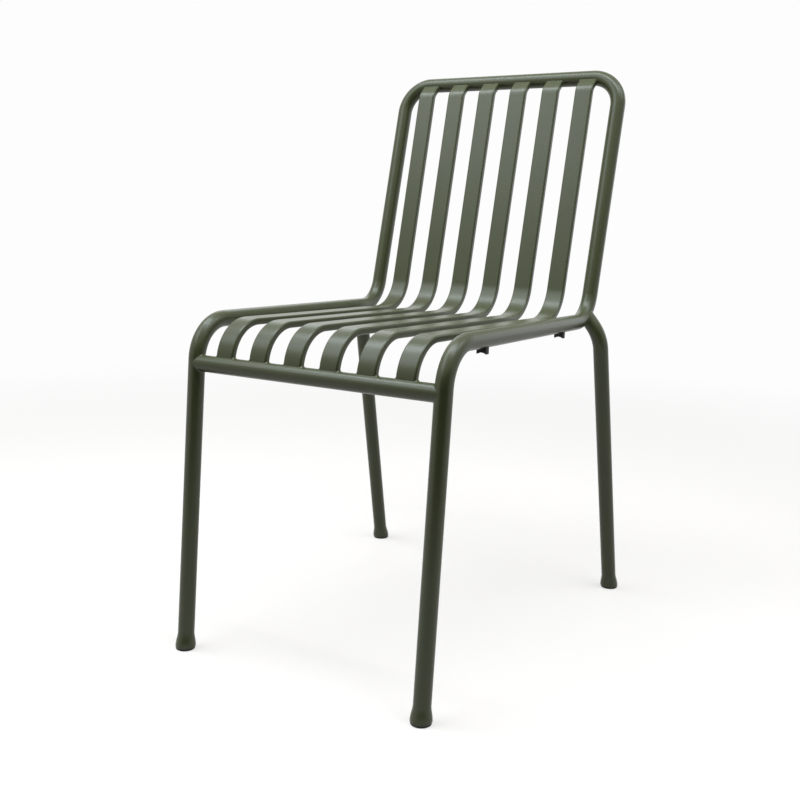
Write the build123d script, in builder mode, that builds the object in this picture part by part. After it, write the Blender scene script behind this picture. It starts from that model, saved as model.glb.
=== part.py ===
from build123d import *
import os
from math import cos, radians, sin, sqrt, tan

# Stacking garden chair of bent steel tube with six flat-tube slats, powder coated.
# Millimetres and degrees. The chair faces -Y and stands on the floor at Z = 0, and right is +X.

# Round frame tube
tube_diameter = 22.0
tube_wall = 1.5
weld_gap = 0.1

# Main frame, measured along the axis of its tube
frame_width = 390.0
overall_height = 800.0
seat_corner_height = 441.1
seat_depth = 428.5
seat_fall = 1.0
front_leg_lean = 4.6
back_lean = 14.4
front_bend_radius = 53.0
back_bend_radius = 50.0
top_bend_radius = 44.0

# Rear legs: the knee's place from the joint on the frame, and the way the leg stands below it
rear_knee_out = 25.0
rear_knee_back = 3.3
rear_knee_drop = 32.0
rear_bend_radius = 60.0
rear_leg_lean = 12.0
rear_leg_splay = 1.1

# Slats
slat_count = 6
slat_width = 27.0
slat_thickness = 9.0
slat_wall = 1.2
slat_corner_radius = 2.5
slat_side_gap = 24.5
slat_drop = -1.0
slat_fall = 1.4
slat_setback = 0.7
slat_front_bend_radius = 51.0
slat_front_run = 3.41
slat_back_bend_radius = 57.0
slat_back_lean = 13.5
slat_top_reach = 27.7
slat_top_angle = 52.4
slat_top_bend_radius = 18.0

# Feet
foot_height = 23.0
foot_radius = 13.5
foot_straight = 5.0
foot_bore = 12.0
spigot_length = 18.0
spigot_clearance = 0.1

# Floor glides
glide_height = 3.0
glide_radius = 12.8
glide_edge_radius = 1.2
glide_stem_length = 14.0
stem_clearance = 0.1

# Stacking pads
pad_width = 13.0
pad_length = 8.0
pad_drop = 7.2
pad_groove_depth = 2.2
pad_seat_clearance = 0.1
pad_front_setback = 90.0
pad_rear_setback = 100.0
pad_peg_diameter = 6.0
pad_peg_reach = 3.0
peg_clearance = 0.1

# Sizes that follow from the ones above
tube_radius = tube_diameter / 2
bore_radius = tube_radius - tube_wall
half_frame = frame_width / 2 - tube_radius
top_height = overall_height - tube_radius
rear_corner_height = seat_corner_height - seat_depth * tan(radians(seat_fall))

# The chair's depth, from the front of the front feet to whatever reaches furthest back
corner_run = seat_corner_height * tan(radians(front_leg_lean))
back_run = (top_height - rear_corner_height) * tan(radians(back_lean))
back_turn = radians(90 - back_lean + seat_fall)
joint_inset = back_bend_radius * (1 / cos(back_turn / 2) - 1)
joint_slope = back_turn / 2 - radians(seat_fall)
joint_run = -joint_inset * sin(joint_slope)
joint_rise = joint_inset * cos(joint_slope)
knee_height = rear_corner_height + joint_rise - rear_knee_drop
rear_foot_run = joint_run + rear_knee_back + knee_height * tan(radians(rear_leg_lean))
front_reach = foot_radius / cos(radians(front_leg_lean)) - glide_height * tan(radians(front_leg_lean))
rear_reach = foot_radius / cos(radians(rear_leg_lean)) - glide_height * tan(radians(rear_leg_lean))
back_reach = max(back_run + tube_radius, rear_foot_run + rear_reach)
overall_depth = front_reach + corner_run + seat_depth + back_reach

# Corners of the main frame's axis in the side view, as Y and Z
front_foot_y = front_reach - overall_depth / 2
front_corner = (front_foot_y + corner_run, seat_corner_height)
rear_corner = (front_corner[0] + seat_depth, rear_corner_height)
top_corner = (rear_corner[0] + back_run, top_height)

# Rear legs in space, for the right side
joint_point = Vector(half_frame, rear_corner[0] + joint_run, rear_corner[1] + joint_rise)
knee_point = joint_point + Vector(rear_knee_out, rear_knee_back, -rear_knee_drop)
rear_foot_point = Vector(
    knee_point.X + knee_point.Z * tan(radians(rear_leg_splay)),
    knee_point.Y + knee_point.Z * tan(radians(rear_leg_lean)),
    0,
)
front_foot_point = Vector(half_frame, front_foot_y, 0)
front_leg_axis = Vector(0, sin(radians(front_leg_lean)), cos(radians(front_leg_lean)))
rear_leg_axis = (knee_point - rear_foot_point).normalized()

# The slats' axis in the side view: over the front, along the seat, up the back, onto the top rail
slat_front_height = seat_corner_height - slat_drop
slat_front_tangent = slat_front_bend_radius * tan(radians(90 + slat_fall) / 2)
front_rail_height = slat_front_height - slat_front_tangent - slat_front_run
slat_top_corner = (
    top_corner[0] - slat_top_reach * sin(radians(slat_top_angle)),
    top_corner[1] - slat_top_reach * cos(radians(slat_top_angle)),
)


def front_leg_y(height):
    """Y of the front leg's axis at a height, on the straight leg or in the bend above it."""
    lean = radians(front_leg_lean)
    bend_turn = radians(90 - front_leg_lean + seat_fall)
    tangent = front_bend_radius * tan(bend_turn / 2)
    bend_y = front_corner[0] - tangent * sin(lean)
    bend_z = front_corner[1] - tangent * cos(lean)
    if height <= bend_z:
        return front_foot_y + height * tan(lean)
    centre_y = bend_y + front_bend_radius * cos(lean)
    centre_z = bend_z - front_bend_radius * sin(lean)
    return centre_y - sqrt(front_bend_radius**2 - (height - centre_z) ** 2)


front_rail_y = front_leg_y(front_rail_height)
slat_foot_y = front_rail_y + slat_setback
fall_slope = tan(radians(slat_fall))
lean_slope = tan(radians(slat_back_lean))
line_y_at_zero = slat_top_corner[0] - slat_top_corner[1] * lean_slope
rear_line_drop = (slat_foot_y - line_y_at_zero) * fall_slope
slat_rear_height = (slat_front_height + rear_line_drop) / (1 + lean_slope * fall_slope)
slat_rear_y = line_y_at_zero + slat_rear_height * lean_slope
slat_pitch = (2 * (half_frame - tube_radius - slat_side_gap) - slat_width) / (slat_count - 1)

sides = {"left": -1, "right": 1}
os.makedirs("parts", exist_ok=True)


def keep(piece, name):
    """Label a finished piece and write it as one STEP file."""
    piece.label = name
    export_step(piece, f"parts/{name}.step")


def on_side(point, side):
    """The point, or its mirror image on the left side."""
    return Vector(point.X * side, point.Y, point.Z)


def seat_rail_point(run):
    """Y and Z on the seat rail's axis, a run behind the front corner."""
    return front_corner[0] + run, front_corner[1] - run * tan(radians(seat_fall))


# Main frame: one tube from foot to foot, over the seat rails, the uprights and the top rail
right_corners = [
    front_foot_point + front_leg_axis * foot_height,
    Vector(half_frame, *front_corner),
    Vector(half_frame, *rear_corner),
    Vector(half_frame, *top_corner),
]
frame_points = right_corners + [on_side(point, -1) for point in reversed(right_corners)]
bend_radii = [front_bend_radius, back_bend_radius, top_bend_radius]
with BuildLine() as frame_path:
    FilletPolyline(*frame_points, radius=bend_radii + bend_radii[::-1])
frame_start = Plane(frame_path.line @ 0, x_dir=(1, 0, 0), z_dir=frame_path.line % 0)

pad_runs = {"front": pad_front_setback, "rear": seat_depth - pad_rear_setback}
seat_axis = Vector(0, cos(radians(seat_fall)), -sin(radians(seat_fall)))
seat_up = Vector(0, sin(radians(seat_fall)), cos(radians(seat_fall)))

with BuildPart() as main_frame:
    with BuildSketch(frame_start):
        Circle(tube_radius)
        Circle(bore_radius, mode=Mode.SUBTRACT)
    sweep(path=frame_path.line)
    for side in sides.values():
        for run in pad_runs.values():
            rail_axis = Vector(side * half_frame, *seat_rail_point(run))
            with BuildSketch(Plane(rail_axis, x_dir=(1, 0, 0), z_dir=-seat_up)):
                Circle(pad_peg_diameter / 2 + peg_clearance)
            extrude(amount=tube_diameter, mode=Mode.SUBTRACT)
keep(main_frame.part, "main_frame")

# The room that the frame tube takes, for coping the tubes that are welded to it
with BuildPart() as frame_clearance:
    with BuildSketch(frame_start):
        Circle(tube_radius + weld_gap)
    sweep(path=frame_path.line)

# Front rail: a straight tube coped to both front legs
with BuildPart() as front_rail:
    with BuildSketch(Plane.YZ.offset(-half_frame)):
        with Locations((front_rail_y, front_rail_height)):
            Circle(tube_radius)
            Circle(bore_radius, mode=Mode.SUBTRACT)
    extrude(amount=2 * half_frame)
    add(frame_clearance.part, mode=Mode.SUBTRACT)
keep(front_rail.part, "front_rail")

# Rear legs: one knee each, coped to the outside of the frame's seat and back bend
for side_name, side in sides.items():
    leg_end = rear_foot_point + rear_leg_axis * foot_height
    leg_points = [on_side(point, side) for point in (leg_end, knee_point, joint_point)]
    with BuildPart() as rear_leg:
        with BuildLine() as leg_path:
            FilletPolyline(*leg_points, radius=rear_bend_radius)
        with BuildSketch(Plane(leg_path.line @ 0, z_dir=leg_path.line % 0)):
            Circle(tube_radius)
            Circle(bore_radius, mode=Mode.SUBTRACT)
        sweep(path=leg_path.line)
        add(frame_clearance.part, mode=Mode.SUBTRACT)
    keep(rear_leg.part, f"rear_leg_{side_name}")

# Slats: flat tube bent in the side view, coped to the front rail and to the frame's top rail
with BuildPart() as rail_clearance:
    with BuildSketch(Plane.YZ.offset(-half_frame)):
        with Locations((front_rail_y, front_rail_height)):
            Circle(tube_radius + weld_gap)
    extrude(amount=2 * half_frame)

slat_bends = [slat_front_bend_radius, slat_back_bend_radius, slat_top_bend_radius]
for index in range(slat_count):
    slat_x = (index - (slat_count - 1) / 2) * slat_pitch
    with BuildPart() as slat:
        with BuildLine() as slat_path:
            FilletPolyline(
                (slat_x, slat_foot_y, front_rail_height - weld_gap),
                (slat_x, slat_foot_y, slat_front_height),
                (slat_x, slat_rear_y, slat_rear_height),
                (slat_x, *slat_top_corner),
                (slat_x, *top_corner),
                radius=slat_bends,
            )
        with BuildSketch(Plane(slat_path.line @ 0, x_dir=(1, 0, 0), z_dir=slat_path.line % 0)):
            RectangleRounded(slat_width, slat_thickness, slat_corner_radius)
            Rectangle(slat_width - 2 * slat_wall, slat_thickness - 2 * slat_wall, mode=Mode.SUBTRACT)
        sweep(path=slat_path.line)
        add(rail_clearance.part, mode=Mode.SUBTRACT)
        add(frame_clearance.part, mode=Mode.SUBTRACT)
    keep(slat.part, f"slat_{index + 1}")

# Feet and floor glides, square to their legs above and level with the floor below
feet = {"front": (front_foot_point, front_leg_axis), "rear": (rear_foot_point, rear_leg_axis)}
floor_cut = Plane.XY.offset(glide_height)
for end_name, (foot_point, leg_axis) in feet.items():
    for side_name, side in sides.items():
        axis_direction = on_side(leg_axis, side)
        foot_plane = Plane(on_side(foot_point, side), z_dir=axis_direction)
        profile_plane = Plane(foot_plane.origin, x_dir=foot_plane.x_dir, z_dir=-foot_plane.y_dir)

        with BuildPart() as foot:
            with BuildSketch(profile_plane):
                with BuildLine():
                    Polyline(
                        (foot_bore / 2, -foot_radius),
                        (foot_bore / 2, foot_height + spigot_length),
                        (bore_radius - spigot_clearance, foot_height + spigot_length),
                        (bore_radius - spigot_clearance, foot_height),
                        (tube_radius, foot_height),
                    )
                    Spline(
                        (tube_radius, foot_height),
                        (foot_radius, foot_straight),
                        tangents=((0, -1), (0, -1)),
                    )
                    Polyline(
                        (foot_radius, foot_straight),
                        (foot_radius, -foot_radius),
                        (foot_bore / 2, -foot_radius),
                    )
                make_face()
            revolve(axis=Axis(foot_plane.origin, axis_direction))
            split(bisect_by=floor_cut, keep=Keep.TOP)
        keep(foot.part, f"foot_{end_name}_{side_name}")

        with BuildPart() as glide:
            with BuildSketch(foot_plane.offset(-foot_radius)):
                Circle(glide_radius)
            extrude(amount=2 * foot_radius)
            split(bisect_by=floor_cut, keep=Keep.BOTTOM)
            split(bisect_by=Plane.XY, keep=Keep.TOP)
            fillet(glide.faces().sort_by(Axis.Z)[0].edges(), glide_edge_radius)
            with BuildSketch(foot_plane.offset(glide_height / 2)):
                Circle(foot_bore / 2 - stem_clearance)
            extrude(amount=glide_stem_length)
        keep(glide.part, f"glide_{end_name}_{side_name}")

# Stacking pads: saddles under the seat rails, each held by a peg in the tube's wall
pad_bottom = tube_radius + pad_drop
pad_web = pad_drop - pad_groove_depth
groove_centre = pad_bottom + tube_radius - pad_groove_depth
for end_name, run in pad_runs.items():
    for side_name, side in sides.items():
        rail_axis = Vector(side * half_frame, *seat_rail_point(run))
        with BuildPart() as pad:
            with BuildSketch(Plane(rail_axis, x_dir=(1, 0, 0), z_dir=seat_axis)):
                with Locations((0, pad_bottom / 2)):
                    Rectangle(pad_width, pad_bottom)
                Circle(tube_radius + pad_seat_clearance, mode=Mode.SUBTRACT)
                with Locations((0, groove_centre)):
                    Circle(tube_radius, mode=Mode.SUBTRACT)
            extrude(amount=pad_length / 2, both=True)
            peg_tip = rail_axis - seat_up * (bore_radius - pad_peg_reach)
            with BuildSketch(Plane(peg_tip, x_dir=(1, 0, 0), z_dir=-seat_up)):
                Circle(pad_peg_diameter / 2)
            extrude(amount=pad_peg_reach + tube_wall + pad_web / 2)
        keep(pad.part, f"pad_{end_name}_{side_name}")
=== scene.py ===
from math import asin, cos, pi, radians, sin, sqrt, tan

import bmesh
import bpy
from bmesh.types import BMEdge, BMVert
from mathutils import Euler, Matrix, Vector
from mathutils.bvhtree import BVHTree
from mathutils.geometry import interpolate_bezier


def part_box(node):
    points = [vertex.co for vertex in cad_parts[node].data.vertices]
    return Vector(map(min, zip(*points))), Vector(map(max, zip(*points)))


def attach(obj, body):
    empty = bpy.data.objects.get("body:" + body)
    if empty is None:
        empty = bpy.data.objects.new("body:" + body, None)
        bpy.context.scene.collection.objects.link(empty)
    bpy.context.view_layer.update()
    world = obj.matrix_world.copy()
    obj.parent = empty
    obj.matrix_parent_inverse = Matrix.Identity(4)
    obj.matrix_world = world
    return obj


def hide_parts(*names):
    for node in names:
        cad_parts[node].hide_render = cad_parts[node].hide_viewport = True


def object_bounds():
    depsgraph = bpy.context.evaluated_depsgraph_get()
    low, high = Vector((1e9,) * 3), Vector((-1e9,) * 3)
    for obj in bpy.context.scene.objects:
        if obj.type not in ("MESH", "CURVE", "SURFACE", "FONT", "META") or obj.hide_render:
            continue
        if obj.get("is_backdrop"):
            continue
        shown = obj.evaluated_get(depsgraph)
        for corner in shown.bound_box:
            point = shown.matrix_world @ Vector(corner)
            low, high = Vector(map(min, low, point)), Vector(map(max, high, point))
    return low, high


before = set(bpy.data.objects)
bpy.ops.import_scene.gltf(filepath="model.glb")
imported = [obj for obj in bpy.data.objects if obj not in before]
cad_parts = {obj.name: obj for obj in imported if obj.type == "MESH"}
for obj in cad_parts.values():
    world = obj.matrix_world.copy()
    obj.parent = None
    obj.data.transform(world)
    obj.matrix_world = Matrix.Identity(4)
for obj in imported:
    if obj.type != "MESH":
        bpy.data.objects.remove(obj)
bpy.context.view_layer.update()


# Main frame
# One round steel tube, 22 mm across, bent cold on a mandrel: up a front leg, along the seat rail, up the
# back, across the top and down the other side. Every other green piece is welded to it and coated with it.
mm = 0.001
tube_radius = 11.0 * mm
tube_sides = 56
front_leg_lean = radians(4.6)
seat_fall = radians(1.0)
back_lean = radians(14.4)
seat_corner_height = 441.1 * mm
seat_depth = 428.5 * mm
front_bend = 53.0 * mm
back_bend = 50.0 * mm
top_bend = 44.0 * mm
foot_height = 23.0 * mm
bend_step = radians(3)
fewest_bend_steps = 6
crease = radians(40)
sides = {"left": -1, "right": 1}

_, frame_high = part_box("main_frame")
half_frame = frame_high.x - tube_radius
top_rail_y = frame_high.y - tube_radius
top_rail_height = frame_high.z - tube_radius
rear_corner_height = seat_corner_height - seat_depth * tan(seat_fall)
rear_corner_y = top_rail_y - (top_rail_height - rear_corner_height) * tan(back_lean)
front_corner_y = rear_corner_y - seat_depth
front_foot = Vector((half_frame, front_corner_y - seat_corner_height * tan(front_leg_lean), 0))
front_leg_axis = Vector((0, sin(front_leg_lean), cos(front_leg_lean)))


def linear(code):
    """An sRGB hex colour as linear red, green, blue and alpha."""
    shares = [int(code[i:i + 2], 16) / 255 for i in (1, 3, 5)]
    return [s / 12.92 if s <= 0.04045 else ((s + 0.055) / 1.055) ** 2.4 for s in shares] + [1.0]


def add_node(tree, kind, inputs, **settings):
    """Add one node with its settings, and give each input named or numbered a value or a link."""
    node = tree.nodes.new(kind)
    for name, value in settings.items():
        setattr(node, name, value)
    for name, value in inputs.items():
        if isinstance(value, bpy.types.NodeSocket):
            tree.links.new(value, node.inputs[name])
        else:
            node.inputs[name].default_value = value
    return node


# Polyester powder coat, sprayed dry and baked: it flows out to a satin skin with a faint orange peel,
# so highlights are broad with soft edges, and the colour is even. The film's thickness drifts over
# about 70 mm. Orange peel is about 1 mm wide, and is drawn at 2.4 mm so that it shows.
film_drift = 70.0 * mm
peel_width = 2.4 * mm
peel_depth = 0.10 * mm
powder_coat = bpy.data.materials.new("polyester_powder_coat_baked_olive")
powder_coat.use_nodes = True
tree = powder_coat.node_tree
shader = tree.nodes["Principled BSDF"]
place = add_node(tree, "ShaderNodeTexCoord", {}).outputs["Object"]
drift = add_node(tree, "ShaderNodeTexNoise", {"Vector": place, "Scale": 1 / film_drift, "Detail": 2.0})
peel = add_node(
    tree,
    "ShaderNodeTexNoise",
    {"Vector": place, "Scale": 1 / peel_width, "Detail": 2.5, "Roughness": 0.45},
)
# A mix of colours takes its share at input 0 and the colours at 6 and 7, and gives the result at output 2.
tint = add_node(
    tree,
    "ShaderNodeMix",
    {0: drift.outputs[0], 6: linear("#3e4325"), 7: linear("#454a2a")},
    data_type="RGBA",
)
gloss = add_node(tree, "ShaderNodeMapRange", {"Value": peel.outputs[0], "To Min": 0.29, "To Max": 0.37})
skin = add_node(
    tree,
    "ShaderNodeBump",
    {"Height": peel.outputs[0], "Strength": 0.08, "Distance": peel_depth},
)
tree.links.new(tint.outputs[2], shader.inputs["Base Color"])
tree.links.new(gloss.outputs["Result"], shader.inputs["Roughness"])
tree.links.new(skin.outputs["Normal"], shader.inputs["Normal"])
shader.inputs["IOR"].default_value = 1.45


def finish_piece(mesh, name, material, slot, *nodes):
    """Turn a bmesh into a smooth shaded piece that rides on the chair and stands for its CAD nodes."""
    bmesh.ops.recalc_face_normals(mesh, faces=mesh.faces)
    for face in mesh.faces:
        face.smooth = True
    for edge in mesh.edges:
        edge.smooth = edge.calc_face_angle(0) < crease
    data = bpy.data.meshes.new(name)
    mesh.to_mesh(data)
    mesh.free()
    data.materials.append(material)
    piece = bpy.data.objects.new(name, data)
    bpy.context.scene.collection.objects.link(piece)
    weighted = piece.modifiers.new("flat_faces_stay_flat", "WEIGHTED_NORMAL")
    weighted.keep_sharp = True
    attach(piece, "root")
    if nodes:
        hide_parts(*nodes)


def only(kind, geom):
    """The points or the edges among what an operator hands back."""
    return [item for item in geom if isinstance(item, kind)]


def push(mesh, loop, step):
    """Extrude an edge loop along a step and return the edges at its new end."""
    grown = bmesh.ops.extrude_edge_only(mesh, edges=loop)["geom"]
    verts = only(BMVert, grown)
    bmesh.ops.translate(mesh, verts=verts, vec=step)
    return [edge for edge in only(BMEdge, grown) if all(vert in verts for vert in edge.verts)]


def bend_along(mesh, loop, points, radii):
    """Carry a section along straight runs and round bends, as a tube bender does, and close both ends."""
    bmesh.ops.edgeloop_fill(mesh, edges=loop)
    here = points[0]
    for corner, after, radius in zip(points[1:-1], points[2:], radii):
        into = (corner - here).normalized()
        out = (after - corner).normalized()
        turn = into.angle(out)
        start = corner - into * radius * tan(turn / 2)
        loop = push(mesh, loop, start - here)
        inward = (out - into * into.dot(out)).normalized()
        spun = bmesh.ops.spin(
            mesh,
            geom=loop,
            cent=start + inward * radius,
            axis=into.cross(out).normalized(),
            angle=turn,
            steps=max(fewest_bend_steps, round(turn / bend_step)),
            use_duplicate=False,
        )
        loop = only(BMEdge, spun["geom_last"])
        here = corner + out * radius * tan(turn / 2)
    loop = push(mesh, loop, points[-1] - here)
    bmesh.ops.edgeloop_fill(mesh, edges=loop)


def round_section(mesh, point, direction, radius):
    """A tube's round outline in an empty mesh as an edge loop, square to a direction."""
    turn = direction.to_track_quat("Z", "X").to_matrix().to_4x4()
    place = Matrix.Translation(point) @ turn
    bmesh.ops.create_circle(mesh, segments=tube_sides, radius=radius, matrix=place)
    return list(mesh.edges)


def bent_tube(points, radii):
    """A closed round tube along a route of corners."""
    mesh = bmesh.new()
    loop = round_section(mesh, points[0], (points[1] - points[0]).normalized(), tube_radius)
    bend_along(mesh, loop, points, radii)
    return mesh


def on_side(point, side):
    """The point, or its mirror image on the left."""
    return Vector((point.x * side, point.y, point.z))


right_corners = [
    front_foot + front_leg_axis * foot_height,
    Vector((half_frame, front_corner_y, seat_corner_height)),
    Vector((half_frame, rear_corner_y, rear_corner_height)),
    Vector((half_frame, top_rail_y, top_rail_height)),
]
frame_route = right_corners + [on_side(point, -1) for point in reversed(right_corners)]
frame_bends = [front_bend, back_bend, top_bend, top_bend, back_bend, front_bend]
frame_mesh = bent_tube(frame_route, frame_bends)
frame_skin = BVHTree.FromBMesh(frame_mesh)
finish_piece(frame_mesh, "frame_tube", powder_coat, "powder_coat", "main_frame")


# Front rail
# A straight length of the same tube, notched at both ends to fit round the front legs and welded there.
# It ties the legs together and carries the front ends of the slats.
rail_low, rail_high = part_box("front_rail")
rail_axis = (rail_low + rail_high) / 2
rail_ends = [Vector((side * half_frame, rail_axis.y, rail_axis.z)) for side in sides.values()]
rail_mesh = bent_tube(rail_ends, [])
rail_skin = BVHTree.FromBMesh(rail_mesh)
finish_piece(rail_mesh, "front_rail_tube", powder_coat, "powder_coat", "front_rail")


# Rear legs
# The same tube again, with one bend: each leg leaves the outside of the frame's seat and back bend, turns
# down and stands back and out, so that chairs stack with the legs of one outside the frame of the next.
rear_bend = 60.0 * mm
rear_leg_lean = radians(12.0)
rear_leg_splay = radians(1.1)
# Where the knee is from the joint on the frame: outwards, back and below
knee_reach = Vector((25.0, 3.3, -32.0)) * mm

back_turn = pi / 2 - back_lean + seat_fall
joint_inset = back_bend * (1 / cos(back_turn / 2) - 1)
joint_slope = back_turn / 2 - seat_fall
leg_joint = Vector((
    half_frame,
    rear_corner_y - joint_inset * sin(joint_slope),
    rear_corner_height + joint_inset * cos(joint_slope),
))
knee = leg_joint + knee_reach
rear_foot = Vector((
    knee.x + knee.z * tan(rear_leg_splay),
    knee.y + knee.z * tan(rear_leg_lean),
    0,
))
rear_leg_axis = (knee - rear_foot).normalized()
rear_leg_end = rear_foot + rear_leg_axis * foot_height

for side_name, side in sides.items():
    route = [on_side(point, side) for point in (rear_leg_end, knee, leg_joint)]
    leg_mesh = bent_tube(route, [rear_bend])
    node = f"rear_leg_{side_name}"
    finish_piece(leg_mesh, f"rear_leg_tube_{side_name}", powder_coat, "powder_coat", node)


# Slats
# Flat steel tube, 27 by 9 mm with rounded corners, bent over the front, along the seat, up the back and
# then back onto the top rail. Both ends are cut to fit the round rails.
slat_count = 6
slat_width = 27.0 * mm
slat_thickness = 9.0 * mm
slat_corner = 2.5 * mm
slat_corner_steps = 7
slat_rise = 1.0 * mm
slat_fall = radians(1.4)
slat_setback = 0.7 * mm
slat_front_bend = 51.0 * mm
slat_back_bend = 57.0 * mm
slat_top_bend = 18.0 * mm
slat_back_lean = radians(13.5)
slat_top_reach = 27.7 * mm
slat_top_angle = radians(52.4)
upwards = Vector((0, 0, 1))

slat_foot_y = rail_axis.y + slat_setback
slat_front_height = seat_corner_height + slat_rise
slat_top_y = top_rail_y - slat_top_reach * sin(slat_top_angle)
slat_top_height = top_rail_height - slat_top_reach * cos(slat_top_angle)
# The seat run falls to the rear and the back run leans: the slat's rear corner is where they cross.
lean_slope = tan(slat_back_lean)
fall_slope = tan(slat_fall)
back_line_y = slat_top_y - slat_top_height * lean_slope
seat_line_height = slat_front_height + (slat_foot_y - back_line_y) * fall_slope
slat_rear_height = seat_line_height / (1 + lean_slope * fall_slope)
slat_rear_y = back_line_y + slat_rear_height * lean_slope


def join_up(mesh, verts):
    """Join points one after the other into a closed edge loop."""
    return [mesh.edges.new(pair) for pair in zip(verts, verts[1:] + verts[:1])]


def round_off(mesh, corners, affect, size, steps):
    """Round over corner points or edges."""
    bmesh.ops.bevel(
        mesh,
        geom=corners,
        offset=size,
        offset_type="OFFSET",
        affect=affect,
        segments=steps,
        profile=0.5,
        material=-1,
    )


def flat_section(mesh, point, direction):
    """The slat's rounded outline in an empty mesh as an edge loop, square to a direction."""
    across = Vector((slat_width / 2, 0, 0))
    through = direction.cross(Vector((slat_thickness / 2, 0, 0)))
    offsets = (-across - through, across - through, across + through, through - across)
    corners = [mesh.verts.new(point + offset) for offset in offsets]
    join_up(mesh, corners)
    round_off(mesh, corners, "VERTICES", slat_corner, slat_corner_steps)
    return list(mesh.edges)


slat_places = []
for index in range(slat_count):
    node = f"slat_{index + 1}"
    slat_low, slat_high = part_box(node)
    x = (slat_low.x + slat_high.x) / 2
    slat_places.append(x)
    route = [
        Vector((x, slat_foot_y, rail_axis.z)),
        Vector((x, slat_foot_y, slat_front_height)),
        Vector((x, slat_rear_y, slat_rear_height)),
        Vector((x, slat_top_y, slat_top_height)),
        Vector((x, top_rail_y, top_rail_height)),
    ]
    slat_mesh = bmesh.new()
    loop = flat_section(slat_mesh, route[0], upwards)
    bend_along(slat_mesh, loop, route, [slat_front_bend, slat_back_bend, slat_top_bend])
    finish_piece(slat_mesh, f"slat_tube_{index + 1}", powder_coat, "powder_coat", node)


# Weld beads
# Steel laid down by the welding gun round each joint, a hollow fillet brushed clean and coated with the
# frame. It is heaviest at the slats' narrow sides, so that the gaps between the slats end in rounded
# corners.

# How far each bead reaches from the joint, at a piece's sides and at its front and back
front_bead = (3.4 * mm, 0.6 * mm)
top_bead = (1.8 * mm, 0.5 * mm)
tube_bead = (2.0 * mm, 2.0 * mm)
# How closely a bead keeps to the sides, how hollow its face is, and how far along the lines to its
# throat the handles of the face's curve stand
bead_gather = 3
bead_hollow = 0.3
bead_handle = 2 / 3
# How deep a bead's root goes below the joint and how deep its edges go below the skins
bead_sink = 0.6 * mm
bead_lap = 0.04 * mm
bead_stations = 6
bead_spacing = 1.2 * mm
# How far before the joint the search for the skin below starts
bead_run_up = 16.0 * mm
# A tube's rim is taken a little small, because its outermost points would pass beside a tube as wide
# as itself.
bead_ring = 0.985


def in_order(edges):
    """The corners of a closed edge loop, one after the other."""
    edge = edges[0]
    ring = [edge.verts[0]]
    while True:
        vert = edge.other_vert(ring[-1])
        if vert == ring[0]:
            return [corner.co.copy() for corner in ring]
        ring.append(vert)
        edge = next(other for other in vert.link_edges if other != edge)


def weld_bead(name, rim_mesh, rim, direction, seat, legs):
    """Lay a bead round the rim of a piece that points in a direction at the skin it is welded to."""
    for edge in rim:
        cuts = int(edge.calc_length() / bead_spacing)
        if cuts:
            bmesh.ops.subdivide_edges(rim_mesh, edges=[edge], cuts=cuts)
    ring = in_order(rim_mesh.edges[:])
    rim_mesh.free()
    middle = sum(ring, Vector()) / len(ring)
    side_leg, face_leg = legs
    mesh = bmesh.new()
    stations = [[] for _ in range(bead_stations + 1)]
    for before, point, after in zip(ring[-1:] + ring[:-1], ring, ring[1:] + ring[:1]):
        outward = (after - before).cross(direction).normalized()
        if outward.dot(point - middle) < 0:
            outward.negate()
        found = seat.ray_cast(point - direction * bead_run_up, direction)[0]
        foot = found or seat.find_nearest(point)[0]
        leg = face_leg + (side_leg - face_leg) * abs(outward.x) ** bead_gather
        toe = foot - direction * leg - outward * bead_lap
        heel, heel_normal = seat.find_nearest(foot + outward * leg)[:2]
        heel = heel - heel_normal * bead_lap
        throat = foot.lerp((toe + heel) / 2, bead_hollow)
        toe_handle = toe.lerp(throat, bead_handle)
        heel_handle = heel.lerp(throat, bead_handle)
        face = interpolate_bezier(toe, toe_handle, heel_handle, heel, bead_stations)
        root = foot + (direction - outward) * bead_sink
        for station, spot in zip(stations, [*face, root]):
            station.append(mesh.verts.new(spot))
    loops = [join_up(mesh, verts) for verts in stations]
    for loop, after in zip(loops, loops[1:] + loops[:1]):
        bmesh.ops.bridge_loops(mesh, edges=loop + after)
    finish_piece(mesh, name, powder_coat, "powder_coat")


def round_bead(name, joint, direction):
    """The bead round the end of a round tube that runs in a direction to a joint on the frame's axis."""
    rim_mesh = bmesh.new()
    start = joint - direction * 2 * tube_radius
    rim = round_section(rim_mesh, start, direction, tube_radius * bead_ring)
    weld_bead(name, rim_mesh, rim, direction, frame_skin, tube_bead)


# Each slat meets the top of the front rail part way round its front bend, and the top rail square on.
front_run = slat_front_height - slat_front_bend * tan((pi / 2 + slat_fall) / 2) - rail_axis.z
front_turn = asin((tube_radius - front_run) / slat_front_bend)
front_way = Vector((0, -sin(front_turn), -cos(front_turn)))
front_y = slat_foot_y + slat_front_bend * (1 - cos(front_turn))
front_mid = Vector((0, front_y, rail_axis.z + tube_radius))
top_way = Vector((0, sin(slat_top_angle), cos(slat_top_angle)))
top_mid = Vector((0, top_rail_y, top_rail_height)) - top_way * tube_radius
slat_ends = {
    "front": (front_mid, front_way, rail_skin, front_bead),
    "top": (top_mid, top_way, frame_skin, top_bead),
}

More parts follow.
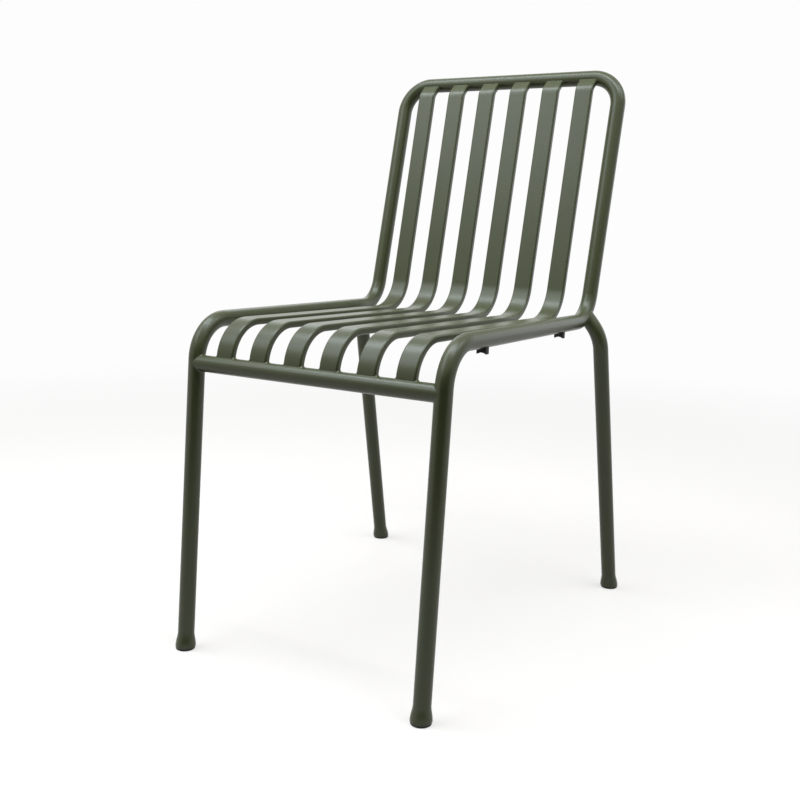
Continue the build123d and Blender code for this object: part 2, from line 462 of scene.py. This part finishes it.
for index, x in enumerate(slat_places):
    for end_name, (middle, way, seat, legs) in slat_ends.items():
        rim_mesh = bmesh.new()
        rim = flat_section(rim_mesh, middle + Vector((x, 0, 0)), way)
        weld_bead(f"slat_weld_{end_name}_{index + 1}", rim_mesh, rim, way, seat, legs)
for side_name, side in sides.items():
    outwards = Vector((side, 0, 0))
    round_bead(f"rail_weld_{side_name}", rail_axis + outwards * half_frame, outwards)
    leg_way = on_side(leg_joint - knee, side).normalized()
    round_bead(f"rear_leg_weld_{side_name}", on_side(leg_joint, side), leg_way)


# Feet
# A turned steel bell pressed into the end of each leg and coated with it: flush with the tube at its top,
# wider towards the floor, and cut level.
foot_radius = 13.5 * mm
foot_straight = 5.0 * mm
glide_height = 3.0 * mm
foot_rim = 0.7 * mm
foot_rim_steps = 3
foot_sides = 64
bell_points = 20
merge_gap = 0.001 * mm

leg_ends = {"front": (front_foot, front_leg_axis), "rear": (rear_foot, rear_leg_axis)}
feet = {
    f"{end_name}_{side_name}": (on_side(base, side), on_side(axis, side))
    for end_name, (base, axis) in leg_ends.items()
    for side_name, side in sides.items()
}


def turned(mesh, outline, base, axis):
    """Turn an outline of radius and height points about an axis, closed at both poles."""
    across = axis.orthogonal().normalized()
    verts = [mesh.verts.new(base + across * radius + axis * height) for radius, height in outline]
    edges = [mesh.edges.new(pair) for pair in zip(verts, verts[1:])]
    bmesh.ops.spin(
        mesh,
        geom=verts + edges,
        cent=base,
        axis=axis,
        angle=2 * pi,
        steps=foot_sides,
        use_merge=True,
        use_duplicate=False,
    )
    bmesh.ops.remove_doubles(mesh, verts=mesh.verts, dist=merge_gap)


bell_top = Vector((tube_radius, foot_height, 0))
bell_bottom = Vector((foot_radius, foot_straight, 0))
bell_pull = Vector((0, (foot_height - foot_straight) / 3, 0))
bell_handles = (bell_top - bell_pull, bell_bottom + bell_pull)
bell_side = interpolate_bezier(bell_top, *bell_handles, bell_bottom, bell_points)
bell_outline = [
    (0, foot_height),
    *((point.x, point.y) for point in bell_side),
    (foot_radius, -foot_radius),
    (0, -foot_radius),
]

for end, (base, axis) in feet.items():
    bell = bmesh.new()
    turned(bell, bell_outline, base, axis)
    cut = bmesh.ops.bisect_plane(
        bell,
        geom=bell.verts[:] + bell.edges[:] + bell.faces[:],
        plane_co=(0, 0, glide_height),
        plane_no=(0, 0, -1),
        clear_outer=True,
    )
    rim = only(BMEdge, cut["geom_cut"])
    bmesh.ops.edgeloop_fill(bell, edges=rim)
    round_off(bell, rim, "EDGES", foot_rim, foot_rim_steps)
    finish_piece(bell, f"foot_bell_{end}", powder_coat, "powder_coat", f"foot_{end}")


# Floor glides
# A moulded polypropylene disc under each foot, with a stem pushed up its bore and a rounded edge that
# slides over a joint in the floor.
glide_radius = 12.8 * mm
glide_edge = 1.2 * mm
glide_edge_steps = 6

# Polypropylene moulded in a spark eroded tool: black all through, dull, with a fine even grain.
# The grain is about 0.5 mm wide, and is drawn at 1 mm so that it shows.
grain_width = 1.0 * mm
grain_depth = 0.08 * mm
black_plastic = bpy.data.materials.new("polypropylene_moulded_black")
black_plastic.use_nodes = True
tree = black_plastic.node_tree
shader = tree.nodes["Principled BSDF"]
place = add_node(tree, "ShaderNodeTexCoord", {}).outputs["Object"]
grain = add_node(tree, "ShaderNodeTexNoise", {"Vector": place, "Scale": 1 / grain_width, "Detail": 2.0})
tint = add_node(
    tree,
    "ShaderNodeMix",
    {0: grain.outputs[0], 6: linear("#0f0f0e"), 7: linear("#181816")},
    data_type="RGBA",
)
gloss = add_node(tree, "ShaderNodeMapRange", {"Value": grain.outputs[0], "To Min": 0.65, "To Max": 0.8})
skin = add_node(
    tree,
    "ShaderNodeBump",
    {"Height": grain.outputs[0], "Strength": 0.2, "Distance": grain_depth},
)
tree.links.new(tint.outputs[2], shader.inputs["Base Color"])
tree.links.new(gloss.outputs["Result"], shader.inputs["Roughness"])
tree.links.new(skin.outputs["Normal"], shader.inputs["Normal"])
shader.inputs["IOR"].default_value = 1.49

glide_outline = [(0, 0)]
for step in range(glide_edge_steps + 1):
    turn = pi / 2 * step / glide_edge_steps
    edge_radius = glide_radius - glide_edge * (1 - sin(turn))
    glide_outline.append((edge_radius, glide_edge * (1 - cos(turn))))
glide_outline += [(glide_radius, glide_height), (0, glide_height)]

for end, (base, _) in feet.items():
    glide = bmesh.new()
    turned(glide, glide_outline, base, upwards)
    finish_piece(glide, f"glide_disc_{end}", black_plastic, "black_plastic", f"glide_{end}")


# Stacking pads
# A small moulded saddle under each end of both seat rails, held by a peg in the tube. Its hollow
# underside sits on the seat rail of the chair below and keeps the coats apart.
pad_columns = 16
pad_edge = 0.5 * mm
pad_edge_steps = 3
pad_sharp = radians(50)
pad_sink = 0.2 * mm
pad_groove = 2.2 * mm

for end in feet:
    low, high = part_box(f"pad_{end}")
    middle = (low + high) / 2
    rail_height = seat_corner_height - (middle.y - front_corner_y) * tan(seat_fall)
    groove_axis = low.z + pad_groove - tube_radius
    pad = bmesh.new()
    # One end of the pad: a strip one unit wide, whose top edge fits the rail above and whose lower edge
    # fits the rail below
    bmesh.ops.create_grid(pad, x_segments=pad_columns, y_segments=1, size=0.5)
    for vert in pad.verts:
        across = vert.co.x * (high.x - low.x)
        seat_arch = rail_height - sqrt((tube_radius - pad_sink) ** 2 - across ** 2)
        groove_arch = groove_axis + sqrt(tube_radius ** 2 - across ** 2)
        vert.co = Vector((middle.x + across, low.y, seat_arch if vert.co.y > 0 else groove_arch))
    grown = bmesh.ops.extrude_face_region(pad, geom=pad.faces[:])["geom"]
    bmesh.ops.translate(pad, verts=only(BMVert, grown), vec=(0, high.y - low.y, 0))
    bmesh.ops.recalc_face_normals(pad, faces=pad.faces)
    sharp = [edge for edge in pad.edges if edge.calc_face_angle(0) > pad_sharp]
    round_off(pad, sharp, "EDGES", pad_edge, pad_edge_steps)
    finish_piece(pad, f"stacking_pad_{end}", black_plastic, "black_plastic", f"pad_{end}")


# Studio
# A pale paper floor that keeps the chair's soft shadow, a white surround, softboxes overhead and on all
# sides, and a black flag behind the photographer, which only the reflections see. Sizes are in metres.
floor_size = 28.0
floor_drop = 0.1 * mm
floor_near = 0.5
floor_far = 2.6
plain_white = linear("#fdfdfd")


def stage_sheet(name, place, material):
    """A flat sheet, one metre square before it is put in its place, that isn't part of the chair."""
    mesh = bmesh.new()
    bmesh.ops.create_grid(mesh, x_segments=1, y_segments=1, size=0.5, matrix=place)
    data = bpy.data.meshes.new(name)
    mesh.to_mesh(data)
    mesh.free()
    data.materials.append(material)
    sheet = bpy.data.objects.new(name, data)
    bpy.context.scene.collection.objects.link(sheet)
    sheet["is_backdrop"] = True
    return sheet


def is_seen(tree):
    """One for a ray from the camera, a reflection or a clear piece, and nought for any other ray."""
    rays = add_node(tree, "ShaderNodeLightPath", {}).outputs
    seen = rays["Is Camera Ray"]
    for kind in ("Is Glossy Ray", "Is Transmission Ray"):
        either = add_node(tree, "ShaderNodeMath", {0: seen, 1: rays[kind]}, operation="ADD", use_clamp=True)
        seen = either.outputs[0]
    return seen


# Matt white paper. To the eye and in reflections it fades to plain white away from the chair.
paper = bpy.data.materials.new("paper_matt_white")
paper.use_nodes = True
tree = paper.node_tree
tree.nodes.clear()
place = add_node(tree, "ShaderNodeTexCoord", {}).outputs["Object"]
away = add_node(tree, "ShaderNodeVectorMath", {0: place}, operation="LENGTH")
fade = add_node(
    tree,
    "ShaderNodeMapRange",
    {"Value": away.outputs["Value"], "From Min": floor_near, "From Max": floor_far},
    interpolation_type="SMOOTHSTEP",
)
lit_paper = add_node(tree, "ShaderNodeBsdfDiffuse", {"Color": linear("#c3bcb5")})
glow = add_node(tree, "ShaderNodeEmission", {"Color": plain_white, "Strength": 0.55})
near_paper = add_node(tree, "ShaderNodeAddShader", {0: lit_paper.outputs[0], 1: glow.outputs[0]})
far_paper = add_node(tree, "ShaderNodeEmission", {"Color": plain_white, "Strength": 1.0})
shown = add_node(
    tree,
    "ShaderNodeMixShader",
    {0: fade.outputs["Result"], 1: near_paper.outputs[0], 2: far_paper.outputs[0]},
)
grey_paper = add_node(tree, "ShaderNodeBsdfDiffuse", {"Color": linear("#707070")})
both = add_node(
    tree,
    "ShaderNodeMixShader",
    {0: is_seen(tree), 1: grey_paper.outputs[0], 2: shown.outputs[0]},
)
add_node(tree, "ShaderNodeOutputMaterial", {"Surface": both.outputs[0]})
floor_place = Matrix.Translation((0, 0, -floor_drop)) @ Matrix.Diagonal((floor_size, floor_size, 1, 1))
stage_sheet("paper_floor", floor_place, paper)

world = bpy.data.worlds.new("white_studio")
bpy.context.scene.world = world
world.use_nodes = True
tree = world.node_tree
tree.nodes.clear()
dim = add_node(tree, "ShaderNodeBackground", {"Color": linear("#ffffff"), "Strength": 0.16})
shown = add_node(tree, "ShaderNodeBackground", {"Color": plain_white, "Strength": 1.0})
both = add_node(tree, "ShaderNodeMixShader", {0: is_seen(tree), 1: dim.outputs[0], 2: shown.outputs[0]})
add_node(tree, "ShaderNodeOutputWorld", {"Surface": both.outputs[0]})

# Daylight softboxes: where each stands, what it faces, how wide and deep it is and how many watts it gives
daylight = linear("#eaf3fc")[:3]
seat_middle = Vector((0, 0, 0.5))
softboxes = {
    "overhead_softbox": (Vector((-0.1, -0.28, 2.15)), Vector((-0.1, -0.28, 0)), (2.4, 0.55), 41.0),
    "front_softbox": (Vector((-1.0, -1.25, 2.0)), seat_middle, (1.4, 1.0), 16.5),
    "right_softbox": (Vector((1.2, 0.45, 2.0)), seat_middle, (0.8, 0.8), 8.5),
    "rear_right_softbox": (Vector((0.9, 1.95, 0.9)), seat_middle, (1.2, 1.2), 3.5),
    "rear_left_softbox": (Vector((-1.3, 1.7, 1.7)), seat_middle, (1.2, 1.0), 6.0),
}
for name, (spot, aim, (width, depth), watts) in softboxes.items():
    lamp = bpy.data.lights.new(name, "AREA")
    lamp.shape = "RECTANGLE"
    lamp.size = width
    lamp.size_y = depth
    lamp.energy = watts
    lamp.color = daylight
    softbox = bpy.data.objects.new(name, lamp)
    turn = (aim - spot).to_track_quat("-Z", "Y").to_matrix().to_4x4()
    softbox.matrix_world = Matrix.Translation(spot) @ turn
    softbox.visible_camera = False
    bpy.context.scene.collection.objects.link(softbox)

# Pressed black felt, which gives almost no light back
felt = bpy.data.materials.new("felt_pressed_black")
felt.use_nodes = True
shader = felt.node_tree.nodes["Principled BSDF"]
shader.inputs["Base Color"].default_value = linear("#151515")
shader.inputs["Roughness"].default_value = 1.0
flag_width = 3.3
flag_height = 1.15
flag_away = 1.5
flag_turn = radians(31.0)
flag_shape = Matrix.Diagonal((flag_width, flag_height, 1, 1))
flag_stand = Matrix.Translation((0, -flag_away, flag_height / 2)) @ Matrix.Rotation(pi / 2, 4, "X")
flag_place = Matrix.Rotation(flag_turn, 4, "Z") @ flag_stand
flag = stage_sheet("black_flag", flag_place @ flag_shape, felt)
flag.visible_camera = False
flag.visible_diffuse = False
flag.visible_shadow = False

# The photographer stands in front of the chair and to its right, a little above the seat.
camera_data = bpy.data.cameras.new("camera")
camera_data.sensor_width = 36.0
camera_data.lens = 45.24
camera = bpy.data.objects.new("camera", camera_data)
camera_place = Vector((0.7138, -1.2211, 0.5908))
heading = radians(31.02)
pitch = radians(10.82)
roll = radians(1.27)
view = Euler((pi / 2 - pitch, 0, heading)).to_matrix() @ Matrix.Rotation(roll, 3, "Z")
camera.matrix_world = Matrix.Translation(camera_place) @ view.to_4x4()
bpy.context.scene.collection.objects.link(camera)
bpy.context.scene.camera = camera
bpy.context.scene.view_settings.view_transform = "Standard"

low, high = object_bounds()
